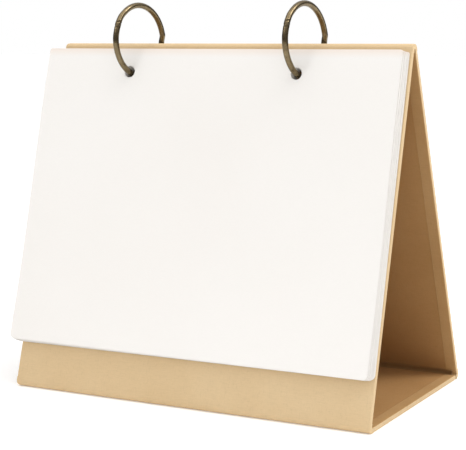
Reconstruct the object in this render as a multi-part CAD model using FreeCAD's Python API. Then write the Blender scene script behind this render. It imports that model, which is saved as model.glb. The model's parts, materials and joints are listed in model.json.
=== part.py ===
"""Flip desk calendar: a wrapped easel stand, two binder rings and a pad of loose sheets.

The stand stands on its base panel.  X runs along the ridge, -Y is the side that is read,
+Z is up, and the origin is the middle of the base panel's underside.  All sizes are in mm.
"""
import FreeCAD, Part
import math
import os
from FreeCAD import Matrix, Vector

# ---- the stand -----------------------------------------------------------------------
stand_width = 212.0
stand_depth = 125.0
stand_height = 188.0
ridge_setback = -5.5       # ridge line in Y, measured from the middle of the base
board_thickness = 2.0      # greyboard core
wrap_thickness = 0.4       # kraft paper glued over the outside and round the edges
lining_thickness = 0.4     # kraft sheet glued inside
hinge_gap = 0.5            # from a fold line out to the inner face of each panel
panel_end_gap = 1.5        # from a fold line to the end of a board
turn_in = 6.0              # wrapping paper turned in over the inner face at the sides
lining_margin = 2.5        # lining stops this far from a fold line
edge_radius = 0.8          # soft outer corner of the wrapped side edges
seam_clearance = 0.35      # open seam between the base and the foot of the back panel

# ---- the binder rings ----------------------------------------------------------------
ring_radius = 19.5         # to the middle of the wire
wire_diameter = 3.2
ring_rise = 2.0            # ring centre above the top of the ridge
ring_advance = 4.2         # ring centre in front of the ridge line
ring_spacing = 102.0
ring_row_shift = -4.3      # both rings sit a little left of the stand's middle
panel_hole_play = 2.2      # all round the wire, in the front and back panels
front_hole_shift = -0.5    # the front holes sit left of the ring by this
back_hole_shift = 0.8      # and the back holes right of it
clasp_angle = 118.0        # round the front from straight down to the clasp
hinge_angle = 285.0        # and on over the top to the hinge
knuckle_swell = 0.25       # each knuckle is this much larger in radius than the wire
knuckle_flat = 0.3         # and this much flatter on each side
knuckle_gap = 0.2          # wire to the neighbour's knuckle
lap_clearance = 0.05       # between the two lapped knuckle halves
pin_radius = 0.6
pin_fit = 0.05             # radial running clearance of the hinge pin

# ---- the calendar sheets -------------------------------------------------------------
sheet_count = 13
sheet_width = 215.0
sheet_height = 165.2
sheet_thickness = 0.35
sheet_gap = 0.15
first_sheet_gap = 0.3      # between the rear sheet and the front panel
sheet_row_shift = -3.9     # middle of the pad in X
sheet_skew = 0.8           # the rear sheet hangs right of the first one by this
sheet_hole_play = 1.8      # all round the wire
sheet_hole_shift = -0.35   # the pad's holes sit left of the rings by this
sheet_hole_to_top = 13.1
sheet_hang = 0.2           # a hole's middle hangs this far below the wire's middle
sheet_wander = 0.3         # loose sheets lie up to this far out of line in X
top_corner_radius = 1.0
bottom_corner_radius = 2.8

panel_thickness = board_thickness + wrap_thickness + lining_thickness
hinge_reach = hinge_gap + panel_thickness
wire_radius = wire_diameter / 2
knuckle_radius = wire_radius + knuckle_swell
knuckle_half_width = wire_radius - knuckle_flat
panel_hole_radius = wire_radius + panel_hole_play
sheet_hole_radius = wire_radius + sheet_hole_play


class Plane:
    """The plane of a panel: s runs from one fold line to the next, o points outwards."""

    def __init__(self, start, end):
        self.start = start
        self.along = (end - start).normalize()
        self.out = Vector(1, 0, 0).cross(self.along)
        self.length = (end - start).Length

    def place(self, shape):
        """Move a shape drawn with X across, Y along s and Z along o onto this plane."""
        a, n, p = self.along, self.out, self.start
        placed = shape.copy()
        placed.transformShape(Matrix(
            1, 0, 0, p.x,
            0, a.y, n.y, p.y,
            0, a.z, n.z, p.z,
            0, 0, 0, 1))
        return placed

    def box(self, half_width, s0, s1, o0, o1, middle=0.0):
        corner = Vector(middle - half_width, s0, o0)
        return Part.makeBox(2 * half_width, s1 - s0, o1 - o0, corner)

    def ring_crossing(self, offset, side):
        """Where the rings cross the plane at this offset; side picks the crossing in s."""
        to_centre = ring_centre - self.start
        from_axis = offset - to_centre.dot(self.out)
        half_chord = math.sqrt(ring_radius ** 2 - from_axis ** 2)
        return to_centre.dot(self.along) + side * half_chord


front_fold = Vector(0, -stand_depth / 2 + hinge_reach, hinge_reach)
rear_fold = Vector(0, stand_depth / 2 - hinge_reach, hinge_reach)
ridge_fold = Vector(0, ridge_setback, stand_height - hinge_reach)
front_plane = Plane(front_fold, ridge_fold)
back_plane = Plane(ridge_fold, rear_fold)
base_plane = Plane(rear_fold, front_fold)

ring_centre = Vector(0, ridge_setback - ring_advance, stand_height + ring_rise)
ring_places = {
    "left_ring": ring_row_shift - ring_spacing / 2,
    "right_ring": ring_row_shift + ring_spacing / 2,
}
CROSS_LOW = -1             # the front panel and sheets meet the rings on their low-s side
CROSS_HIGH = 1             # the back panel meets them on its high-s side


def hole(x, s, radius, o0, o1):
    """A punched hole's cutter, square to the plane, from offset o0 to o1."""
    return Part.makeCylinder(radius, o1 - o0, Vector(x, s, o0), Vector(0, 0, 1))


def soften(shape, radius, lies_on_corner):
    """Round the edges whose middle satisfies lies_on_corner."""
    edges = [e for e in shape.Edges if lies_on_corner(e.CenterOfMass)]
    return shape.makeFillet(radius, edges)


# ---- panels --------------------------------------------------------------------------
def panel_pieces(plane, hole_side=None):
    """A greyboard, its kraft wrapping and its lining, with ring holes where asked for."""
    half = stand_width / 2
    s0, s1 = panel_end_gap, plane.length - panel_end_gap
    inner, outer = hinge_gap, hinge_reach

    envelope = plane.box(half, s0, s1, inner, outer)
    radius = min(edge_radius, panel_thickness * 0.45)
    envelope = soften(envelope, radius, lambda c: abs(abs(c.x) - half) < 1e-6
                      and abs(c.y - (s0 + s1) / 2) < 1e-6)
    board = plane.box(half - wrap_thickness, s0, s1,
                      inner + lining_thickness, outer - wrap_thickness)
    lining = plane.box(half - turn_in, s0 + lining_margin, s1 - lining_margin,
                       inner, inner + lining_thickness)
    wrapping = envelope.cut(board).cut(lining)

    pieces = [board, wrapping, lining]
    if hole_side is not None:
        s = plane.ring_crossing((inner + outer) / 2, hole_side)
        shift = front_hole_shift if hole_side == CROSS_LOW else back_hole_shift
        for x in ring_places.values():
            cutter = hole(x + shift, s, panel_hole_radius, inner - 1, outer + 1)
            pieces = [piece.cut(cutter) for piece in pieces]
    return [plane.place(piece) for piece in pieces]


def fold_paper(fold, first, second, open_seam=False):
    """The kraft paper that bends round a fold line, from one panel's skin to the next.

    The first panel ends at the fold and the second starts there.  At the open seam the
    paper is glued to the first panel only and stops short of the second.
    """
    half = stand_width / 2
    outer, inner = hinge_reach, hinge_reach - wrap_thickness
    start = math.degrees(math.atan2(first.out.z, first.out.y))
    sweep = math.degrees(first.out.getAngle(second.out))

    # a sector drawn about the fold line; the stand's outside runs clockwise in Y-Z
    bend = Part.makeCylinder(outer, stand_width, Vector(0, 0, 0), Vector(0, 0, 1), sweep)
    bend = bend.cut(Part.makeCylinder(inner, stand_width))
    bend.transformShape(Matrix(
        0, 0, 1, 0,
        1, 0, 0, 0,
        0, 1, 0, 0,
        0, 0, 0, 1))
    bend.rotate(Vector(0, 0, 0), Vector(1, 0, 0), start - sweep)
    bend.translate(Vector(-half, fold.y, fold.z))

    legs = [first.place(first.box(
        half, first.length - panel_end_gap, first.length, inner, outer))]
    if open_seam:
        gap = second.box(half + 1, -seam_clearance, outer, 0, outer + 1)
        bend = bend.cut(second.place(gap))
    else:
        legs.append(second.place(second.box(half, 0.0, panel_end_gap, inner, outer)))
    return bend.multiFuse(legs).removeSplitter()


# ---- rings ---------------------------------------------------------------------------
def ring_point(angle):
    """A point on the wire's middle; the angle runs from straight down round the front."""
    a = math.radians(angle)
    return Vector(0, -ring_radius * math.sin(a), -ring_radius * math.cos(a)) + ring_centre


def wire_arc(start, end):
    """A stretch of round wire from one ring angle to another."""
    section = Part.Wire(Part.makeCircle(wire_radius, ring_point(start), Vector(
        0, -math.cos(math.radians(start)), math.sin(math.radians(start)))))
    face = Part.Face(section)
    return face.revolve(ring_centre, Vector(-1, 0, 0), end - start)


def disc(centre, radius, x0, x1):
    return Part.makeCylinder(radius, x1 - x0, centre + Vector(x0, 0, 0), Vector(1, 0, 0))


def ring_half(start, end, side):
    """One half of a ring; side is -1 or 1, the side of the lap that its knuckles take."""
    half = wire_arc(start, end)
    far = wire_radius + 1.0
    for angle in (start, end):
        centre = ring_point(angle)
        x0, x1 = sorted((side * lap_clearance / 2, side * knuckle_half_width))
        half = half.fuse(disc(centre, knuckle_radius, x0, x1))
        x0, x1 = sorted((side * lap_clearance / 2, -side * far))
        half = half.cut(disc(centre, knuckle_radius + knuckle_gap, x0, x1))
    return half.removeSplitter()


def ring_pieces():
    """A ring about x = 0: the half through the holes, the swinging half, and the pin."""
    pin_at = ring_point(hinge_angle)
    lower = ring_half(hinge_angle - 360.0, clasp_angle, 1)
    upper = ring_half(clasp_angle, hinge_angle, -1)
    bore = disc(pin_at, pin_radius + pin_fit, -2 * knuckle_half_width, 2 * knuckle_half_width)
    pin = disc(pin_at, pin_radius, -knuckle_half_width, knuckle_half_width)
    # the pin is riveted into the lower half and runs free in the upper half
    riveted_bore = disc(pin_at, pin_radius, -2 * knuckle_half_width, 2 * knuckle_half_width)
    return {
        "lower_half": lower.cut(riveted_bore),
        "upper_half": upper.cut(bore),
        "hinge_pin": pin,
    }


# ---- sheets --------------------------------------------------------------------------
def sheet_outline(left, right, bottom, top):
    """A landscape sheet with small rounded corners, larger at the bottom."""
    corners = (
        (left, bottom, 1, 0, bottom_corner_radius), (right, bottom, 0, 1, bottom_corner_radius),
        (right, top, -1, 0, top_corner_radius), (left, top, 0, -1, top_corner_radius),
    )
    edges = []
    ends = []
    for x, y, dx, dy, radius in corners:
        # (dx, dy) is the direction of travel after the corner, and it turns left
        before = Vector(x - dy * radius, y + dx * radius, 0)
        after = Vector(x + dx * radius, y + dy * radius, 0)
        centre = before + Vector(dx, dy, 0) * radius
        middle = centre + (Vector(x, y, 0) - centre).normalize() * radius
        edges.append(Part.Arc(before, middle, after).toShape())
        ends.append((before, after))
    for i, (_, after) in enumerate(ends):
        edges.append(Part.makeLine(after, ends[(i + 1) % len(ends)][0]))
    return Part.Wire(Part.__sortEdges__(edges))


def calendar_sheet(number):
    """Sheet 1 is in front; the last one lies against the front panel."""
    from_rear = sheet_count - number
    pitch = sheet_thickness + sheet_gap
    offset = hinge_reach + first_sheet_gap + from_rear * pitch
    hole_s = front_plane.ring_crossing(offset + sheet_thickness / 2, CROSS_LOW) - sheet_hang
    top = hole_s + sheet_hole_to_top
    drift = sheet_wander * math.sin(2.4 * number)
    drift += sheet_skew * ((number - 1) / (sheet_count - 1) - 0.5)
    middle = sheet_row_shift + drift
    outline = sheet_outline(middle - sheet_width / 2, middle + sheet_width / 2,
                            top - sheet_height, top)
    sheet = Part.Face(outline).extrude(Vector(0, 0, sheet_thickness))
    for x in ring_places.values():
        hole_x = x + sheet_hole_shift + drift
        sheet = sheet.cut(hole(hole_x, hole_s, sheet_hole_radius, -1, 2))
    sheet.translate(Vector(0, 0, offset))
    return front_plane.place(sheet)


# ---- the whole calendar --------------------------------------------------------------
nodes = {}
panels = (("front", front_plane, CROSS_LOW), ("back", back_plane, CROSS_HIGH),
          ("base", base_plane, None))
for name, plane, side in panels:
    board, wrapping, lining = panel_pieces(plane, side)
    nodes[name + "_board"] = board
    nodes[name + "_wrapping"] = wrapping
    nodes[name + "_lining"] = lining

nodes["ridge_fold_paper"] = fold_paper(ridge_fold, front_plane, back_plane)
nodes["front_fold_paper"] = fold_paper(front_fold, base_plane, front_plane)
nodes["rear_seam_flap"] = fold_paper(rear_fold, back_plane, base_plane, open_seam=True)

for ring, x in ring_places.items():
    for piece, shape in ring_pieces().items():
        shape.translate(Vector(x, 0, 0))
        nodes[ring + "_" + piece] = shape

for number in range(1, sheet_count + 1):
    nodes["sheet_%02d" % number] = calendar_sheet(number)

os.makedirs("parts", exist_ok=True)
for name, shape in nodes.items():
    if shape.ShapeType != "Solid" and len(shape.Solids) == 1:
        shape = shape.Solids[0]
    shape.exportStep("parts/%s.step" % name)
    print("%-24s solids %d  valid %s  volume %.1f" % (
        name, len(shape.Solids), shape.isValid(), shape.Volume))
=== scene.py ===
"""Flip desk calendar: a kraft-wrapped easel stand, two antique brass binder rings and a pad of
blank sheets.  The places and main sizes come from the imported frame; lengths are in metres."""
import json
import math

import bmesh
import bpy
from mathutils import Matrix, Vector, noise


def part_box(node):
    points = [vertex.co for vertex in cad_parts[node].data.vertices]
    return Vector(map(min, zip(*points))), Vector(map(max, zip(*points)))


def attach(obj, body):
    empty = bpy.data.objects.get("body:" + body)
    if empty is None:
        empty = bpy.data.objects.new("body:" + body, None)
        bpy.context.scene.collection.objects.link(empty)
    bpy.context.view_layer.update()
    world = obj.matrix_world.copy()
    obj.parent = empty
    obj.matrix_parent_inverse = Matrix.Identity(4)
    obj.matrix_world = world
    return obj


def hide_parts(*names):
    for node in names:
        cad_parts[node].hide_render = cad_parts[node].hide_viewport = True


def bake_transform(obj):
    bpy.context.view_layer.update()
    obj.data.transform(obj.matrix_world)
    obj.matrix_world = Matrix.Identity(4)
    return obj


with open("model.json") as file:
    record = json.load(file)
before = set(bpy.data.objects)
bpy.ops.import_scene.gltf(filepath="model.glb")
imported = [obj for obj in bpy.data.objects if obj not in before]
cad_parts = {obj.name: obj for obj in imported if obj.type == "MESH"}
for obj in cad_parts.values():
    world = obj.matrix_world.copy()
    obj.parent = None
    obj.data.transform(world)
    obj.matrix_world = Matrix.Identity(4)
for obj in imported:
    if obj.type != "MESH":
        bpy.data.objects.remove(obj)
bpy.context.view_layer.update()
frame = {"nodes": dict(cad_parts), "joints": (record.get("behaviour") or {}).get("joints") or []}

MM = 0.001
joints = {joint["name"]: joint for joint in frame["joints"]}


def joint_place(name):
    return Vector(joints[name]["pos_m"])


# ---- the stand's planes, worked out from the frame -------------------------------------
class Panel:
    """A panel's plane: s runs from its first fold line to the next, o points outwards."""

    def __init__(self, start, end):
        self.start = start
        self.length = (end - start).length
        self.along = (end - start).normalized()
        self.out = Vector((1, 0, 0)).cross(self.along)

    def at(self, x, s, o):
        return Vector((x, 0, 0)) + self.start + self.along * s + self.out * o

    def coordinates(self, point):
        """(x, s, o) of a point."""
        away = point - self.start
        return point.x, away.dot(self.along), away.dot(self.out)


ridge_fold = joint_place("back_panel_fold")
front_fold = joint_place("base_panel_fold")
base_low, base_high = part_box("base_wrapping")
END_GAP = base_low.y - front_fold.y            # from a fold line to the end of a board
rear_fold = Vector((0, base_high.y + END_GAP, front_fold.z))
front_panel = Panel(front_fold, ridge_fold)
back_panel = Panel(ridge_fold, rear_fold)
base_panel = Panel(rear_fold, front_fold)

HALF_WIDTH = base_high.x
REACH = front_fold.z                           # fold line to the outer face of a panel
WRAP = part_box("base_board")[0].z               # thickness of the kraft wrapping
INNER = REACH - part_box("base_lining")[1].z     # fold line to the inner face of a panel
TURN_IN = HALF_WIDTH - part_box("base_lining")[1].x


EDGE_MARGIN = 4 * MM                           # points nearer a piece's edge aren't a hole's


def hole_centres(node, panel):
    """(x, s, radius) of each round hole in a flat CAD piece, from the points inside its edges."""
    points = [panel.coordinates(v.co) for v in frame["nodes"][node].data.vertices]
    xs = [p[0] for p in points]
    ss = [p[1] for p in points]
    x_low, x_high = min(xs) + EDGE_MARGIN, max(xs) - EDGE_MARGIN
    s_low, s_high = min(ss) + EDGE_MARGIN, max(ss) - EDGE_MARGIN
    inside = [p for p in points if x_low < p[0] < x_high and s_low < p[1] < s_high]
    found = []
    for sign in (-1, 1):
        rim = [p for p in inside if p[0] * sign > 0]
        x0, x1 = min(p[0] for p in rim), max(p[0] for p in rim)
        s0, s1 = min(p[1] for p in rim), max(p[1] for p in rim)
        found.append(((x0 + x1) / 2, (s0 + s1) / 2, (x1 - x0) / 2))
    return found


# ---- materials -------------------------------------------------------------------------
def srgb(r, g, b):
    """A screen colour, 0 to 255, as linear light."""
    def linear(value):
        c = value / 255
        return c / 12.92 if c <= 0.04045 else ((c + 0.055) / 1.055) ** 2.4
    return (linear(r), linear(g), linear(b), 1.0)


class Shader:
    """A small helper that builds one node material."""

    def __init__(self, name, roughness, metallic=0.0, specular=0.5):
        self.material = bpy.data.materials.new(name)
        self.material.use_nodes = True
        self.nodes = self.material.node_tree.nodes
        self.links = self.material.node_tree.links
        self.surface = self.nodes["Principled BSDF"]
        self.surface.inputs["Roughness"].default_value = roughness
        self.surface.inputs["Metallic"].default_value = metallic
        self.surface.inputs["Specular IOR Level"].default_value = specular
        self.place = self.nodes.new("ShaderNodeTexCoord").outputs["Object"]

    def mapped(self, scale, turn=(0.0, 0.0, 0.0)):
        node = self.nodes.new("ShaderNodeMapping")
        node.inputs["Scale"].default_value = scale
        node.inputs["Rotation"].default_value = turn
        self.links.new(self.place, node.inputs["Vector"])
        return node.outputs["Vector"]

    def noise(self, scale, detail=3.0, vector=None, roughness=0.55):
        node = self.nodes.new("ShaderNodeTexNoise")
        node.inputs["Scale"].default_value = scale
        node.inputs["Detail"].default_value = detail
        node.inputs["Roughness"].default_value = roughness
        self.links.new(vector or self.place, node.inputs["Vector"])
        return node.outputs["Fac"]

    def ramp(self, factor, stops):
        """stops is a list of (position, colour or grey level)."""
        node = self.nodes.new("ShaderNodeValToRGB")
        elements = node.color_ramp.elements
        while len(elements) < len(stops):
            elements.new(0.5)
        for element, (position, value) in zip(elements, stops):
            element.position = position
            element.color = value if isinstance(value, tuple) else (value, value, value, 1)
        self.links.new(factor, node.inputs["Fac"])
        return node.outputs["Color"]

    def mix(self, factor, first, second, mode="MIX"):
        node = self.nodes.new("ShaderNodeMix")
        node.data_type = "RGBA"
        node.blend_type = mode
        for socket, value in (("Factor", factor), ("A", first), ("B", second)):
            inputs = [i for i in node.inputs if i.name == socket
                      and i.type == ("VALUE" if socket == "Factor" else "RGBA")]
            if isinstance(value, (int, float, tuple)):
                inputs[0].default_value = value
            else:
                self.links.new(value, inputs[0])
        return [o for o in node.outputs if o.type == "RGBA"][0]

    def math(self, operation, first, second):
        node = self.nodes.new("ShaderNodeMath")
        node.operation = operation
        for slot, value in enumerate((first, second)):
            if isinstance(value, (int, float)):
                node.inputs[slot].default_value = value
            else:
                self.links.new(value, node.inputs[slot])
        return node.outputs[0]

    def colour(self, value):
        self.links.new(value, self.surface.inputs["Base Color"])

    def roughness(self, value):
        self.links.new(value, self.surface.inputs["Roughness"])

    def bump(self, *layers):
        """Each layer is (height, strength, distance in metres)."""
        normal = None
        for height, strength, distance in layers:
            node = self.nodes.new("ShaderNodeBump")
            node.inputs["Strength"].default_value = strength
            node.inputs["Distance"].default_value = distance
            self.links.new(height, node.inputs["Height"])
            if normal is not None:
                self.links.new(normal, node.inputs["Normal"])
            normal = node.outputs["Normal"]
        self.links.new(normal, self.surface.inputs["Normal"])


def kraft(name, base, dark, light, depth=1.0):
    """Natural kraft paper: cloudy tone, long pale and dark fibres, and a matt, fibrous face."""
    shader = Shader(name, roughness=0.86, specular=0.25)
    cloud = shader.noise(scale=22.0, detail=4.0)
    tone = shader.ramp(cloud, [(0.30, dark), (0.52, base), (0.74, light)])
    long_fibres = shader.noise(1.0, vector=shader.mapped((260.0, 2600.0, 2600.0)))
    slanted = shader.mapped((1900.0, 420.0, 420.0), turn=(0.5, 0.3, 0.2))
    cross_fibres = shader.noise(1.0, detail=2.0, vector=slanted)
    speck = shader.noise(scale=1500.0, detail=2.0)
    streaks = shader.ramp(long_fibres, [(0.34, 0.965), (0.50, 1.0), (0.68, 1.02)])
    flecks = shader.ramp(cross_fibres, [(0.30, 0.955), (0.42, 1.0), (0.72, 1.015)])
    grains = shader.ramp(speck, [(0.26, 0.90), (0.36, 1.0)])
    tone = shader.mix(1.0, tone, streaks, "MULTIPLY")
    tone = shader.mix(1.0, tone, flecks, "MULTIPLY")
    tone = shader.mix(0.7, tone, grains, "MULTIPLY")
    shader.colour(tone)
    shader.roughness(shader.ramp(cross_fibres, [(0.2, 0.92), (0.8, 0.78)]))
    shader.bump((long_fibres, 0.14 * depth, 0.00004), (cross_fibres, 0.12 * depth, 0.00003),
                (cloud, 0.20 * depth, 0.0004))
    return shader.material


def greyboard():
    """Bookbinder's board: pressed grey-brown pulp with pale and dark specks."""
    shader = Shader("greyboard_pulp", roughness=0.95, specular=0.15)
    pulp = shader.noise(scale=900.0, detail=5.0)
    layers = shader.noise(1.0, detail=2.0, vector=shader.mapped((220.0, 1800.0, 1800.0)))
    tone = shader.ramp(pulp, [(0.30, srgb(120, 104, 84)), (0.5, srgb(158, 140, 114)),
                              (0.72, srgb(190, 174, 148))])
    tone = shader.mix(1.0, tone, shader.ramp(layers, [(0.3, 0.86), (0.7, 1.05)]), "MULTIPLY")
    shader.colour(tone)
    shader.bump((pulp, 0.5, 0.0002), (layers, 0.4, 0.0001))
    return shader.material


TOP_SHADE_BAND = 5.0 * MM           # how far the painted shade below the kraft ridge reaches down a card
TOP_SHADE_SHARE = 0.75


def card(top_height):
    """Smooth uncoated white card, with a painted warm shade along its top edge where the kraft ridge
    shades it.
    """
    shader = Shader("white_card", roughness=0.62, specular=0.3)
    cloud = shader.noise(scale=5.0, detail=2.0)
    fibre = shader.noise(1.0, vector=shader.mapped((700.0, 2400.0, 2400.0)))
    tooth = shader.noise(scale=2600.0, detail=2.0)
    tone = shader.ramp(cloud, [(0.3, srgb(241, 237, 232)), (0.7, srgb(244, 241, 237))])
    tone = shader.mix(1.0, tone, shader.ramp(fibre, [(0.3, 0.982), (0.7, 1.0)]), "MULTIPLY")
    height = shader.nodes.new("ShaderNodeSeparateXYZ")
    shader.links.new(shader.place, height.inputs["Vector"])
    shade_band = shader.nodes.new("ShaderNodeMapRange")
    shade_band.interpolation_type = "SMOOTHSTEP"
    shader.links.new(height.outputs["Z"], shade_band.inputs["Value"])
    shade_band.inputs["From Min"].default_value = top_height - TOP_SHADE_BAND
    shade_band.inputs["From Max"].default_value = top_height
    shade_band.inputs["To Max"].default_value = TOP_SHADE_SHARE
    # painted shade: a warm grey tint fades in along the top edge, for the ridge's shade on the card
    tone = shader.mix(shade_band.outputs["Result"], tone, srgb(240, 226, 214))
    shader.colour(tone)
    shader.roughness(shader.ramp(fibre, [(0.2, 0.56), (0.8, 0.70)]))
    shader.bump((tooth, 0.12, 0.00002), (fibre, 0.10, 0.00002), (cloud, 0.1, 0.0004))
    return shader.material


def antique_brass(name):
    """Plated wire: dark brown patina rubbed back to paler brass in streaks and patches."""
    shader = Shader(name, roughness=0.30, metallic=1.0)
    worn = shader.noise(scale=420.0, detail=6.0, roughness=0.6)
    fine = shader.noise(scale=1400.0)
    drawn = shader.noise(1.0, vector=shader.mapped((3200.0, 500.0, 500.0)))
    mixed = shader.math("ADD", shader.math("MULTIPLY", worn, 0.72),
                        shader.math("MULTIPLY", drawn, 0.28))
    tone = shader.ramp(mixed, [(0.30, srgb(94, 80, 60)), (0.46, srgb(112, 98, 74)),
                               (0.58, srgb(120, 106, 80)), (0.74, srgb(146, 131, 102))])
    tone = shader.mix(0.25, tone, shader.ramp(fine, [(0.3, 0.70), (0.5, 1.0)]), "MULTIPLY")
    shader.colour(tone)
    shader.roughness(shader.ramp(mixed, [(0.35, 0.30), (0.68, 0.18)]))
    shader.bump((drawn, 0.12, 0.00004), (fine, 0.10, 0.00002))
    return shader.material


FACE = kraft("kraft_face", srgb(216, 189, 148), srgb(212, 184, 142), srgb(219, 193, 153))
# painted shade: the same kraft as the face, made darker for the shade on the turned-in strips and inner
# faces inside the stand
TURNED_PAINTED_SHADE = kraft("kraft_turned_painted_shade", srgb(188, 150, 101), srgb(181, 142, 93), srgb(195, 158, 110), 0.8)
# painted shade: the same kraft again, made darker and warmer for the shade and bounced light inside the
# stand
INSIDE_PAINTED_SHADE = kraft("kraft_inside_painted_shade", srgb(178, 137, 88), srgb(172, 131, 82), srgb(184, 144, 95), 0.8)
BOARD = greyboard()
BRASS = antique_brass("brass_wire")
RIVET = antique_brass("brass_rivet")


# ---- mesh helpers ----------------------------------------------------------------------
SMOOTH_ANGLE = 35.0            # degrees; a sharper edge between faces stays a crease
SAME_POINT = 1e-7
NO_LENGTH = 1e-8


def new_piece(name, vertices, faces, material, smooth_angle=SMOOTH_ANGLE):
    mesh = bpy.data.meshes.new(name)
    mesh.from_pydata(vertices, [], faces)
    work = bmesh.new()
    work.from_mesh(mesh)
    bmesh.ops.remove_doubles(work, verts=work.verts, dist=SAME_POINT)
    bmesh.ops.dissolve_degenerate(work, edges=work.edges, dist=NO_LENGTH)
    bmesh.ops.recalc_face_normals(work, faces=work.faces)
    work.to_mesh(mesh)
    work.free()
    mesh.materials.append(material)
    mesh.polygons.foreach_set("use_smooth", [True] * len(mesh.polygons))
    mesh.set_sharp_from_angle(angle=math.radians(smooth_angle))
    piece = bpy.data.objects.new(name, mesh)
    bpy.context.scene.collection.objects.link(piece)
    return piece


def tube_faces(rows, count, capped=True):
    """Faces of a tube whose vertices lie in rows, each a closed loop of count points."""
    faces = []
    for row in range(rows - 1):
        first, second = row * count, (row + 1) * count
        faces += [(first + i, first + (i + 1) % count, second + (i + 1) % count, second + i)
                  for i in range(count)]
    if capped:
        faces.append(tuple(range(count)))
        faces.append(tuple(range((rows - 1) * count, rows * count)))
    return faces


def smooth_step(value):
    t = min(1.0, max(0.0, value))
    return t * t * (3 - 2 * t)


def waviness(point):
    """Smooth noise from 0 to 1 at a point."""
    return noise.noise(point) * 0.5 + 0.5


def spread(start, end, step):
    """Evenly spaced values from start to end, about step apart."""
    count = max(1, round(abs(end - start) / step))
    return [start + (end - start) * i / count for i in range(count + 1)]


def corner_arc(cx, cy, radius, start, end, count=6):
    """Points of a small arc, angles in degrees."""
    return [(cx + radius * math.cos(math.radians(a)), cy + radius * math.sin(math.radians(a)))
            for a in spread(start, end, abs(end - start) / count)]


def second_material(piece, material, chosen):
    """Give another material to the faces whose middle and normal pass the test."""
    piece.data.materials.append(material)
    for face in piece.data.polygons:
        if chosen(face.center, face.normal):
            face.material_index = 1


PUNCH_SIDES = 48
PUNCH_CLEARANCE = 2 * MM       # how far the punch stands out of each face of a panel


def punch(piece, panel, node):
    """Punch the ring holes of a CAD node through a piece, square to its panel."""
    low, high = INNER - PUNCH_CLEARANCE, REACH + PUNCH_CLEARANCE
    for x, s, radius in hole_centres(node, panel):
        bpy.ops.mesh.primitive_cylinder_add(vertices=PUNCH_SIDES, radius=radius, depth=high - low,
                                            location=panel.at(x, s, (low + high) / 2))
        cutter = bpy.context.object
        cutter.rotation_mode = "QUATERNION"
        cutter.rotation_quaternion = panel.out.to_track_quat("Z", "Y")
        cut = piece.modifiers.new("punch", "BOOLEAN")
        cut.object = cutter
        cut.solver = "EXACT"
        bpy.context.view_layer.update()
        evaluated = piece.evaluated_get(bpy.context.evaluated_depsgraph_get())
        punched = bpy.data.meshes.new_from_object(evaluated)
        piece.modifiers.clear()
        punched.materials.clear()
        punched.materials.append(piece.data.materials[0])
        piece.data = punched
        bpy.data.objects.remove(cutter)
    piece.data.set_sharp_from_angle(angle=math.radians(SMOOTH_ANGLE))


# ---- kraft wrapping --------------------------------------------------------------------
EDGE_RADIUS = 0.7 * MM
INNER_EDGE_RADIUS = 0.5 * MM
GROOVE_DEPTH = 0.16 * MM       # the wrap sinks a little where a board ends
GROOVE_LENGTH = 2.6 * MM
WAVE_DEPTH = 0.07 * MM         # glued paper is never quite flat
WAVE_SCALE = 28
RIPPLE_DEPTH = 0.02 * MM
RIPPLE_SCALE = 260
SIDE_WAVE_DEPTH = 0.05 * MM
INNER_SHARE = 0.4              # the turned-in strips move by this share of what the skin does
FLANK = 3 * MM                 # from each side to the skin's first column of points
COARSE_STEP = 4 * MM
FINE_STEP = 0.5 * MM           # closer rows where the skin sinks at a board's end
STRIP_STEP = 1.2 * MM          # between the columns of points on a turned-in strip
STRIP_DEPTH = 0.2 * MM         # a strip's skin lies within this of the panel's inner face


def groove(distance):
    """How far the skin sinks at this distance from the end of a board."""
    return GROOVE_DEPTH * (1 - smooth_step(distance / GROOVE_LENGTH))


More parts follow.
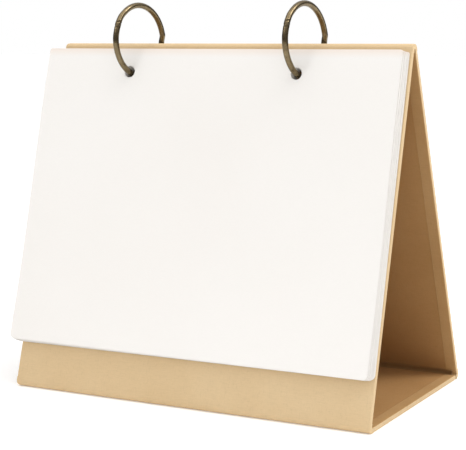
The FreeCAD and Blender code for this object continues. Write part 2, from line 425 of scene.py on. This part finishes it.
def wrapping(name, panel, body, node):
    """The wrap of one panel: outer skin, rounded sides, and the strips turned in behind."""
    half, outer, inner = HALF_WIDTH, REACH, INNER
    strip = spread(-half + TURN_IN, -half + STRIP_STEP, STRIP_STEP)
    left_side = ([(x, inner) for x in strip]
                 + corner_arc(-half + INNER_EDGE_RADIUS, inner + INNER_EDGE_RADIUS,
                              INNER_EDGE_RADIUS, 270, 180)
                 + corner_arc(-half + EDGE_RADIUS, outer - EDGE_RADIUS, EDGE_RADIUS, 180, 90))
    skin = [(x, outer) for x in spread(-half + FLANK, half - FLANK, COARSE_STEP)]
    outside = left_side + skin + [(-x, o) for x, o in reversed(left_side)]
    core = half - WRAP
    inside = [(half - TURN_IN, inner + WRAP), (core, inner + WRAP), (core, outer - WRAP),
              (-core, outer - WRAP), (-core, inner + WRAP), (-half + TURN_IN, inner + WRAP)]
    profile = outside + inside
    start, end = END_GAP, panel.length - END_GAP
    stations = sorted(set(spread(start, start + COARSE_STEP, FINE_STEP)
                          + spread(start + COARSE_STEP, end - COARSE_STEP, COARSE_STEP)
                          + spread(end - COARSE_STEP, end, FINE_STEP)))
    middle = (inner + outer) / 2
    vertices = []
    for s in stations:
        sink = groove(min(s - start, end - s))
        for number, (x, o) in enumerate(profile):
            if number < len(outside):
                wave = waviness(panel.at(x, s, o) * WAVE_SCALE)
                ripple = waviness(panel.at(x, s, o) * RIPPLE_SCALE)
                down = WAVE_DEPTH * wave + RIPPLE_DEPTH * ripple + sink
                o += -down if o > middle else down * INNER_SHARE
                side = SIDE_WAVE_DEPTH * waviness(Vector((s * 90, o * 900, x * 9)))
                if x > half - EDGE_RADIUS:
                    x -= side
                elif x < -half + EDGE_RADIUS:
                    x += side
            vertices.append(panel.at(x, s, o))
    faces = tube_faces(len(stations), len(profile))
    piece = new_piece(name, vertices, faces, FACE)

    def turned_in(place, normal):
        """True on the strips' faces, which look into the stand; they take the painted shade."""
        return (panel.coordinates(place)[2] < INNER + STRIP_DEPTH
                and normal.dot(panel.out) < -0.5)

    if panel is not base_panel:
        punch(piece, panel, node)
    second_material(piece, TURNED_PAINTED_SHADE, turned_in)
    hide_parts(node)
    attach(piece, body)


# ---- kraft lining ----------------------------------------------------------------------
LINING_SIDE_GAP = 0.12 * MM    # bare board between the lining and a turned-in strip
LINING_END_GAP = 0.3 * MM
LINING_SHARE = 0.92            # its thickness as a share of the wrap's
LINING_WAVE = 0.04 * MM
LINING_STEP = 5 * MM


def lining(name, panel, body, node):
    """The sheet pasted inside a panel, between the turned-in strips and close to the board's ends."""
    half = HALF_WIDTH - TURN_IN - LINING_SIDE_GAP
    columns = spread(-half, half, LINING_STEP)
    rows = spread(END_GAP + LINING_END_GAP, panel.length - END_GAP - LINING_END_GAP, LINING_STEP)
    thickness = WRAP * LINING_SHARE
    vertices, faces = [], []
    for layer in (0, 1):
        for s in rows:
            for x in columns:
                wave = LINING_WAVE * waviness(Vector((x * 30, s * 30, 7.0)))
                vertices.append(panel.at(x, s, INNER + (thickness if layer else wave)))
    across, total = len(columns), len(columns) * len(rows)
    for row in range(len(rows) - 1):
        for column in range(across - 1):
            corner = row * across + column
            quad = (corner, corner + 1, corner + across + 1, corner + across)
            faces += [quad, tuple(i + total for i in reversed(quad))]
    rim = (list(range(across)) + [r * across + across - 1 for r in range(1, len(rows))]
           + [total - 1 - i for i in range(1, across)]
           + [r * across for r in range(len(rows) - 2, 0, -1)])
    for first, second in zip(rim, rim[1:] + rim[:1]):
        faces.append((second, first, first + total, second + total))
    # the lining's kraft carries painted shade
    piece = new_piece(name, vertices, faces, INSIDE_PAINTED_SHADE)
    if panel is not base_panel:
        punch(piece, panel, node)
    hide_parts(node)
    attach(piece, body)


# ---- paper that bends round the folds --------------------------------------------------
FOLD_STEP = math.radians(4)
LEG_STEP = 0.3 * MM            # closer rows on the flat part beside each bend
FOLD_END = 5 * MM              # length at each side of the stand with closer points
FOLD_MIDDLE_STEP = 3 * MM
END_ROUND = 1.2 * MM           # the outer skin rounds off this close to its open ends
TUCK_LENGTH = 2.5 * MM         # the paper is fully tucked in this far from its open ends
TUCK_FADE = 1.5 * MM           # and the tuck fades out over this length
TUCK_SHARE = 0.94              # its depth as a share of the room behind the paper
FOLD_RIPPLE_SHARE = 0.12       # how far the skin ripples, as a share of the paper's thickness
FOLD_ROUND_SHARE = 0.35        # how far it sinks at its open ends, as the same share
SEAM_GAP = 0.45 * MM           # the rear seam stays open this much at the base


def fold_strip(name, fold, first, second, node, open_gap=0.0):
    """The kraft paper round a fold line, from the end of one panel's skin to the next.

    With an open gap it stops that far short of the end of the bend, clear of the second panel."""
    start = math.atan2(first.out.z, first.out.y)
    sweep = first.out.angle(second.out)
    turns = spread(0.0, sweep - open_gap / REACH, FOLD_STEP)

    def arc_point(turn, radius):
        angle = start - turn
        return fold + Vector((0, math.cos(angle), math.sin(angle))) * radius

    def leg(panel, distances, from_end):
        for distance in distances:
            s = panel.length - distance if from_end else distance
            outer = REACH - groove(END_GAP - distance)
            inner = REACH - WRAP - groove(END_GAP - distance)
            yield panel.at(0, s, outer), panel.at(0, s, inner)

    section = list(leg(first, spread(END_GAP, 0.0, LEG_STEP)[:-1], True))
    section += [(arc_point(turn, REACH - groove(END_GAP + REACH * min(turn, sweep - turn))),
                 arc_point(turn, REACH - WRAP)) for turn in turns]
    if not open_gap:
        section += list(leg(second, spread(0.0, END_GAP, LEG_STEP)[1:], False))
    end_xs = spread(0.0, FOLD_END, FINE_STEP)
    middle_xs = spread(-HALF_WIDTH + FOLD_END, HALF_WIDTH - FOLD_END, FOLD_MIDDLE_STEP)
    xs = ([-HALF_WIDTH + x for x in end_xs] + middle_xs[1:-1]
          + [HALF_WIDTH - x for x in reversed(end_xs)])
    vertices = []
    for x in xs:
        from_end = HALF_WIDTH - abs(x)
        edge = 1 - smooth_step(from_end / END_ROUND)
        tucked = 1 - smooth_step((from_end - TUCK_LENGTH) / TUCK_FADE)
        depth = (REACH - WRAP - INNER) * TUCK_SHARE * tucked
        for outside, inside in section:
            ripple = waviness(Vector((x * 60, outside.y * 300, outside.z * 300)))
            sunk = FOLD_RIPPLE_SHARE * ripple + FOLD_ROUND_SHARE * edge
            vertices.append(outside + Vector((x, 0, 0)) + (inside - outside) * sunk)
        for outside, inside in reversed(section):
            vertices.append(inside + (inside - outside).normalized() * depth + Vector((x, 0, 0)))
    faces = tube_faces(len(xs), 2 * len(section))
    piece = new_piece(name, vertices, faces, FACE, 50.0)

    def inner_side(place, normal):
        """True on the faces that look back at the fold line; they take the painted shade."""
        away = Vector((0, place.y - fold.y, place.z - fold.z))
        return normal.dot(away) < 0 and abs(normal.x) < 0.7

    second_material(piece, TURNED_PAINTED_SHADE, inner_side)
    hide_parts(node)
    return piece, arc_point(0, REACH), arc_point(sweep, REACH)


# ---- binder rings ----------------------------------------------------------------------
CLASP_ANGLE = 118.0            # degrees round the front from straight down
RING_LEAN = {"left_ring": 8.8, "right_ring": 6.5}   # degrees turned about the vertical
RING_DROP = 0.5 * MM           # they hang a little low in their holes
LOW_ANGLE = 330.0              # the part that passes through the panels leans less
LOW_SHARE = 0.62
LOW_SPAN, LOW_BLEND = 35, 30          # degrees from that part, then on to the full lean
RING_TILT = 1.7                # degrees sideways
JOINT_FLAT, JOINT_BLEND = 8.0, 27.0   # degrees of wire left square to each lapped joint
DROP_START, DROP_BLEND = 12, 25       # degrees from the hinge with no drop, then to the full drop
KNUCKLE_SWELL = 0.2 * MM       # the wire is forged wider and flatter at each joint
KNUCKLE_FLAT = 0.3 * MM
SWELL_SHARE, SWELL_FADE = 0.6, 1.4 * MM       # full for a share of the knuckle, then fading
FLAT_SHARE, FLAT_FADE = 0.7, 1.6 * MM
LAP_GAP = 0.03 * MM            # each half's lap stops this far from the middle plane
SHOULDER_GAP = 0.34 * MM       # room between a knuckle and the other half's shoulder
WIRE_POINTS = 40
JOINT_LENGTH = 0.8 * MM        # wire past a knuckle that has closer points
JOINT_STEP = 0.1 * MM
WIRE_STEP = 0.7 * MM
RIVET_SHAFT, RIVET_HEAD, RIVET_RISE = 0.6 * MM, 0.95 * MM, 0.16 * MM
RIVET_SUNK = 0.05 * MM         # the head sits this deep in the wire's flat
RIVET_CROWN = math.pi / 2 - 0.15      # the dome stops here, in a small flat
RIVET_POINTS = 24


def degrees_from(angle, other):
    """How far an angle is past another, in degrees from -180 to 180."""
    return (angle - other + 180) % 360 - 180


class Ring:
    """One binder ring's sizes, read from the frame."""

    def __init__(self, name):
        self.name = name
        self.centre = joint_place(name + "_turn")
        self.pin = joint_place(name + "_open")
        low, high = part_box(name + "_lower_half")
        self.wire = high.x - self.centre.x
        self.radius = self.centre.z - low.z - self.wire
        to_pin = self.pin - self.centre
        self.hinge_angle = math.degrees(math.atan2(-to_pin.y, -to_pin.z)) % 360
        self.slope = math.tan(math.radians(RING_LEAN[name]))
        self.tilt = math.tan(math.radians(RING_TILT))

    def sideways(self, angle):
        """How far the leaning wire stands to the side at this angle; level at each joint."""
        for joint in (CLASP_ANGLE, self.hinge_angle):
            away = degrees_from(angle, joint)
            if abs(away) < JOINT_BLEND:
                angle = joint + away * smooth_step((abs(away) - JOINT_FLAT)
                                                   / (JOINT_BLEND - JOINT_FLAT))
        from_low = abs(degrees_from(angle, LOW_ANGLE))
        share = LOW_SHARE + (1 - LOW_SHARE) * smooth_step((from_low - LOW_SPAN) / LOW_BLEND)
        a = math.radians(angle)
        return share * self.radius * (self.tilt * math.cos(a) - self.slope * math.sin(a))

    def point(self, angle, x, rise):
        """A point at this angle in degrees, x along the axis, rise outside the wire's middle."""
        a = math.radians(angle)
        r = self.radius + rise
        from_hinge = abs(degrees_from(angle, self.hinge_angle))
        drop = RING_DROP * smooth_step((from_hinge - DROP_START) / DROP_BLEND)
        return self.centre + Vector((x + self.sideways(angle), -r * math.sin(a),
                                     -r * math.cos(a) - drop))

    def half(self, name, start, end, side):
        """Round wire with a lapped knuckle at each end, on this side of the lap."""
        knuckle = self.wire + KNUCKLE_SWELL
        length = math.radians(end - start) * self.radius
        near = ([-knuckle * math.cos(math.radians(t)) for t in range(0, 90, 9)]
                + spread(0.0, knuckle + JOINT_LENGTH, JOINT_STEP))
        middle = spread(near[-1], length - near[-1], WIRE_STEP)[1:-1]
        stations = near + middle + [length - u for u in reversed(near)]
        vertices = []
        for a in stations:
            u = min(a, length - a)
            swollen = 1 - smooth_step((abs(u) - SWELL_SHARE * knuckle) / SWELL_FADE)
            flattened = 1 - smooth_step((u - FLAT_SHARE * knuckle) / FLAT_FADE)
            swell = 1 + KNUCKLE_SWELL / self.wire * swollen
            flat = self.wire - KNUCKLE_FLAT * flattened
            squeeze = math.sqrt(max(0.0, 1 - (u / knuckle) ** 2)) if u < 0 else 1.0
            for i in range(WIRE_POINTS):
                turn = 2 * math.pi * i / WIRE_POINTS
                x = self.wire * math.cos(turn)
                v = self.wire * math.sin(turn) * swell * squeeze
                shoulder = math.sqrt(max(0.0, (knuckle + SHOULDER_GAP) ** 2 - v * v))
                if side * x > flat:
                    x = side * flat
                if u < shoulder and side * x < LAP_GAP:
                    x = side * LAP_GAP
                vertices.append(self.point(start + math.degrees(a / self.radius), x, v))
        faces = tube_faces(len(stations), WIRE_POINTS, capped=False)
        return new_piece(name, vertices, faces, BRASS, 50.0)

    def rivet(self, name):
        """The hinge's pin with a low domed head on each face."""
        face = self.wire - KNUCKLE_FLAT
        seat = face - RIVET_SUNK
        dome = [(RIVET_HEAD * math.cos(t), face + RIVET_RISE * math.sin(t))
                for t in spread(0.0, RIVET_CROWN, 0.2)]
        half_profile = [(RIVET_SHAFT, 0.0), (RIVET_SHAFT, seat), (RIVET_HEAD, seat)] + dome
        profile = [(r, -x) for r, x in reversed(half_profile)] + half_profile[1:]
        pin_x = self.pin.x + self.sideways(self.hinge_angle)
        vertices = []
        for r, x in profile:
            for i in range(RIVET_POINTS):
                turn = 2 * math.pi * i / RIVET_POINTS
                vertices.append(Vector((pin_x + x, self.pin.y + r * math.cos(turn),
                                        self.pin.z + r * math.sin(turn))))
        faces = tube_faces(len(profile), RIVET_POINTS)
        return new_piece(name, vertices, faces, RIVET, 40.0)

    def build(self):
        lower = self.half(self.name + "_wire_lower", self.hinge_angle - 360, CLASP_ANGLE, 1)
        upper = self.half(self.name + "_wire_gate", CLASP_ANGLE, self.hinge_angle, -1)
        rivet = self.rivet(self.name + "_rivet")
        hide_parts(self.name + "_lower_half")
        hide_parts(self.name + "_upper_half")
        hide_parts(self.name + "_hinge_pin")
        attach(lower, self.name)
        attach(rivet, self.name)
        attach(upper, self.name + "_gate")


# ---- calendar sheets -------------------------------------------------------------------
SHEET_NODES = sorted(n for n in frame["nodes"] if n.startswith("sheet_"))
CARD_SHARE = 0.74              # a card's thickness as a share of the pad's local pitch
TOP_CORNER = 1.2 * MM
BOTTOM_CORNER = 3.0 * MM
CLOSING_SHARE = 0.42           # how much of the pad's spread closes up below the holes
CLOSING_LENGTH = 120 * MM      # and over what length
CURL = 0.5 * MM                # the front sheets' bottom corners lift a little
CURL_WIDTH_START, CURL_WIDTH = 0.30, 0.20     # shares of a sheet's width from its middle
CURL_HEIGHT_START, CURL_HEIGHT = 0.25, 0.25   # shares of its height, downwards
SAG = 0.125 * MM               # the front sheets bow back in the middle of their width
SAG_START = 0.1                # share of the closing length where the bow starts to fade
CARD_WAVE = 0.10 * MM
CARD_WAVE_SCALE = 18
TOP_LEAN_BACK = 0.25 * MM
FRONT_SLIDE, REAR_SLIDE = 0.05 * MM, 1.0 * MM   # how far the sheets hang to the side
REAR_TURN = math.radians(0.36)                  # and how far the rear ones turn in their plane
HOLE_SHIFT = -0.15 * MM        # the holes stand this far to the side of the CAD's
HOLE_SHRINK = 0.15 * MM        # and their radius is this much smaller
CORNER_STEPS = 8
HOLE_STEP = math.radians(7.5)
CARD_STEP = 6 * MM
CUT_TOLERANCE = 1e-6


def sheet_place(node):
    """(left, right, bottom, top, rear offset, front offset) of a CAD sheet on the front plane."""
    points = [front_panel.coordinates(v.co) for v in frame["nodes"][node].data.vertices]
    xs, ss, os_ = zip(*points)
    return min(xs), max(xs), min(ss), max(ss), min(os_), max(os_)


def flat_card(width, height, holes):
    """A flat card from its middle, with rounded corners and round holes, cut into small faces."""
    work = bmesh.new()
    outline = []
    for cx, cy, radius, start in ((1, 1, TOP_CORNER, 0), (-1, 1, TOP_CORNER, 90),
                                  (-1, -1, BOTTOM_CORNER, 180), (1, -1, BOTTOM_CORNER, 270)):
        outline += corner_arc(cx * (width / 2 - radius), cy * (height / 2 - radius),
                              radius, start, start + 90, CORNER_STEPS)
    loops = [outline]
    for x, y, radius in holes:
        loops.append([(x + radius * math.cos(t), y + radius * math.sin(t))
                      for t in spread(0.0, 2 * math.pi, HOLE_STEP)[:-1]])
    for loop in loops:
        rim = [work.verts.new((x, y, 0)) for x, y in loop]
        for i, vertex in enumerate(rim):
            work.edges.new((vertex, rim[(i + 1) % len(rim)]))
    bmesh.ops.triangle_fill(work, use_beauty=True, edges=work.edges[:])
    for normal, size in ((Vector((1, 0, 0)), width), (Vector((0, 1, 0)), height)):
        for cut in spread(-size / 2, size / 2, CARD_STEP)[1:-1]:
            bmesh.ops.bisect_plane(work, geom=work.verts[:] + work.edges[:] + work.faces[:],
                                   plane_co=normal * cut, plane_no=normal, dist=CUT_TOLERANCE)
    work.normal_update()
    for face in work.faces:
        if face.normal.z < 0:
            face.normal_flip()
    work.verts.index_update()
    points = [v.co.copy() for v in work.verts]
    faces = [tuple(v.index for v in f.verts) for f in work.faces]
    rims = [(loop.vert.index, loop.link_loop_next.vert.index)
            for e in work.edges if e.is_boundary for loop in e.link_loops]
    work.free()
    return points, faces, rims


def calendar_sheets():
    """Every sheet, hung on the rings and settled against the one behind it."""
    places = {node: sheet_place(node) for node in SHEET_NODES}
    rear = places[SHEET_NODES[-1]]
    rear_offset = (rear[4] + rear[5]) / 2
    first = places[SHEET_NODES[0]]
    width, height = first[1] - first[0], first[3] - first[2]
    holes = hole_centres(SHEET_NODES[0], front_panel)
    middle_x, middle_s = (first[0] + first[1]) / 2, (first[2] + first[3]) / 2
    holes = [(x - middle_x, s - middle_s, r) for x, s, r in holes]
    pitch = (first[4] - rear[4]) / (len(SHEET_NODES) - 1)
    hole_height = holes[0][1]
    material = card(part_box(SHEET_NODES[0])[1].z)
    for number, node in enumerate(SHEET_NODES):
        left, right, bottom, top, rear_face, front_face = places[node]
        spread_share = 1 - number / (len(SHEET_NODES) - 1)     # 1 for the first sheet
        centre_x, centre_s = (left + right) / 2, (bottom + top) / 2
        offset = (rear_face + front_face) / 2
        slide = REAR_SLIDE + (FRONT_SLIDE - REAR_SLIDE) * spread_share
        turn = REAR_TURN * (1 - spread_share)
        moved_holes = [(x + HOLE_SHIFT - slide, y, r - HOLE_SHRINK) for x, y, r in holes]
        points, faces, rims = flat_card(width, height, moved_holes)

        def settled(point, side):
            """Where a point of the flat card comes to lie; side is 1 for its front, -1 for its back."""
            x, y = point.x, point.y
            below = (hole_height - y) / CLOSING_LENGTH
            close = CLOSING_SHARE * smooth_step(below)
            o = rear_offset + (offset - rear_offset) * (1 - close)
            corner = smooth_step((abs(x) - CURL_WIDTH_START * width) / (CURL_WIDTH * width))
            low = smooth_step((-y - CURL_HEIGHT_START * height) / (CURL_HEIGHT * height))
            sag = math.sin(math.pi * (x / width + 0.5)) * (1 - smooth_step(below - SAG_START))
            lean_back = smooth_step((y - hole_height) / (height / 2 - hole_height))
            o += spread_share * (CURL * corner * low - SAG * sag - TOP_LEAN_BACK * lean_back)
            wave_place = Vector((x * CARD_WAVE_SCALE, y * CARD_WAVE_SCALE, 3.0))
            o += spread_share * CARD_WAVE * noise.noise(wave_place)
            down = y - hole_height
            x_now = x * math.cos(turn) - down * math.sin(turn) + slide
            y_now = hole_height + x * math.sin(turn) + down * math.cos(turn)
            half_card = CARD_SHARE * pitch * (1 - close) / 2
            return front_panel.at(centre_x + x_now, centre_s + y_now, o + side * half_card)

        count = len(points)
        vertices = [settled(p, 1) for p in points] + [settled(p, -1) for p in points]
        sides = [tuple(f) for f in faces] + [tuple(i + count for i in reversed(f)) for f in faces]
        sides += [(b, a, a + count, b + count) for a, b in rims]
        piece = new_piece(node + "_card", vertices, sides, material, 40.0)
        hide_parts(node)
        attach(piece, node)


# ---- the whole calendar ----------------------------------------------------------------
for panel_name, panel in (("front", front_panel), ("back", back_panel), ("base", base_panel)):
    wrapping(panel_name + "_wrap", panel, panel_name + "_panel", panel_name + "_wrapping")
    lining(panel_name + "_inside", panel, panel_name + "_panel", panel_name + "_lining")
    data = frame["nodes"][panel_name + "_board"].data
    data.materials.clear()
    data.materials.append(BOARD)

ridge_strip, ridge_start, ridge_end = fold_strip(
    "ridge_wrap", ridge_fold, front_panel, back_panel, "ridge_fold_paper")
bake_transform(ridge_strip)
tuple(ridge_start)
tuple(ridge_end)
foot_strip, foot_start, foot_end = fold_strip(
    "front_foot_wrap", front_fold, base_panel, front_panel, "front_fold_paper")
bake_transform(foot_strip)
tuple(foot_start)
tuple(foot_end)
seam_strip, _, _ = fold_strip("rear_foot_flap", rear_fold, back_panel, base_panel,
                              "rear_seam_flap", open_gap=SEAM_GAP)
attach(seam_strip, "back_panel")

for ring_name in ("left_ring", "right_ring"):
    Ring(ring_name).build()
calendar_sheets()


# ---- floor, light and camera -----------------------------------------------------------
FLOOR_GLOW = 0.20              # a light table, so the floor stays white into the distance
FLOOR_SIZE = 12
SEEN_WHITE = 1.0               # brightness of the background to the eye
HORIZON_LIGHT, ZENITH_LIGHT = 0.10, 1.06      # strength of the dome's light
DOME_TOP = 0.8                 # height on the dome where it reaches its full strength
LIGHT_TARGET = (0, 0, 0.1)


def floor():
    """A pale table top, wide enough to reach the horizon."""
    shader = Shader("pale_floor", roughness=0.8, specular=0.2)
    grain = shader.noise(scale=40.0)
    pale = shader.ramp(grain, [(0.3, srgb(250, 250, 250)), (0.7, srgb(252, 252, 252))])
    shader.colour(pale)
    shader.links.new(pale, shader.surface.inputs["Emission Color"])
    shader.surface.inputs["Emission Strength"].default_value = FLOOR_GLOW
    bpy.ops.mesh.primitive_plane_add(size=FLOOR_SIZE)
    plane = bpy.context.object
    plane.name = "floor"
    plane.data.materials.append(shader.material)


def soft_light(name, place, size, watts):
    """A rectangular white lamp that looks at the middle of the calendar."""
    data = bpy.data.lights.new(name, "AREA")
    data.shape = "RECTANGLE"
    data.size, data.size_y = size
    data.energy = watts
    lamp = bpy.data.objects.new(name, data)
    bpy.context.scene.collection.objects.link(lamp)
    lamp.location = place
    lamp.rotation_mode = "QUATERNION"
    toward = Vector(LIGHT_TARGET) - Vector(place)
    lamp.rotation_quaternion = toward.to_track_quat("-Z", "Y")


def surroundings():
    """White behind the object for the eye; as light, a dome that is brighter overhead."""
    world = bpy.data.worlds.new("studio")
    bpy.context.scene.world = world
    world.use_nodes = True
    nodes, links = world.node_tree.nodes, world.node_tree.links
    glow = nodes["Background"]
    place = nodes.new("ShaderNodeTexCoord")
    height = nodes.new("ShaderNodeSeparateXYZ")
    links.new(place.outputs["Generated"], height.inputs["Vector"])
    fall = nodes.new("ShaderNodeMapRange")
    fall.interpolation_type = "SMOOTHSTEP"
    links.new(height.outputs["Z"], fall.inputs["Value"])
    fall.inputs["From Min"].default_value = 0.0
    fall.inputs["From Max"].default_value = DOME_TOP
    fall.inputs["To Min"].default_value = HORIZON_LIGHT
    fall.inputs["To Max"].default_value = ZENITH_LIGHT
    links.new(fall.outputs["Result"], glow.inputs["Strength"])
    glow.inputs["Color"].default_value = (1, 1, 1, 1)
    white = nodes.new("ShaderNodeBackground")
    white.inputs["Color"].default_value = (1, 1, 1, 1)
    white.inputs["Strength"].default_value = SEEN_WHITE
    path = nodes.new("ShaderNodeLightPath")
    mix = nodes.new("ShaderNodeMixShader")
    links.new(path.outputs["Is Camera Ray"], mix.inputs["Fac"])
    links.new(glow.outputs["Background"], mix.inputs[1])
    links.new(white.outputs["Background"], mix.inputs[2])
    links.new(mix.outputs["Shader"], nodes["World Output"].inputs["Surface"])


CAMERA_ANGLES = (28.514, 6.186, -0.51)        # degrees: round to the right, up, and roll
CAMERA_DISTANCE = 0.7953
CAMERA_TARGET = (-0.0005, 0, 0.1171)
CAMERA_LENS, CAMERA_SENSOR = 112.04, 36.0     # in millimetres
CAMERA_SHIFT = (-0.0066, -0.1116)             # shares of the sensor's width


def camera():
    """A long lens a little above the table, to the right of the calendar's front."""
    azimuth, elevation, roll = (math.radians(a) for a in CAMERA_ANGLES)
    back = Vector((math.sin(azimuth) * math.cos(elevation),
                   -math.cos(azimuth) * math.cos(elevation), math.sin(elevation)))
    right = Vector((math.cos(azimuth), math.sin(azimuth), 0))
    up = back.cross(right)
    leaned_right = right * math.cos(roll) + up * math.sin(roll)
    leaned_up = up * math.cos(roll) - right * math.sin(roll)
    data = bpy.data.cameras.new("camera")
    data.sensor_width = CAMERA_SENSOR
    data.lens = CAMERA_LENS
    data.shift_x, data.shift_y = CAMERA_SHIFT
    data.clip_start = 0.01
    view = bpy.data.objects.new("camera", data)
    bpy.context.scene.collection.objects.link(view)
    turn = Matrix((leaned_right, leaned_up, back)).transposed().to_4x4()
    place = Vector(CAMERA_TARGET) + back * CAMERA_DISTANCE
    view.matrix_world = Matrix.Translation(place) @ turn
    bpy.context.scene.camera = view


floor()
surroundings()
soft_light("overhead_softbox", place=(0.05, -0.25, 1.35), size=(1.2, 0.9), watts=3.6)
soft_light("front_softbox", place=(-0.70, -1.30, 1.05), size=(0.35, 0.35), watts=2.0)
soft_light("right_softbox", place=(1.05, 0.32, 1.35), size=(0.7, 0.7), watts=11)
camera()
bpy.context.scene.view_settings.view_transform = "Standard"
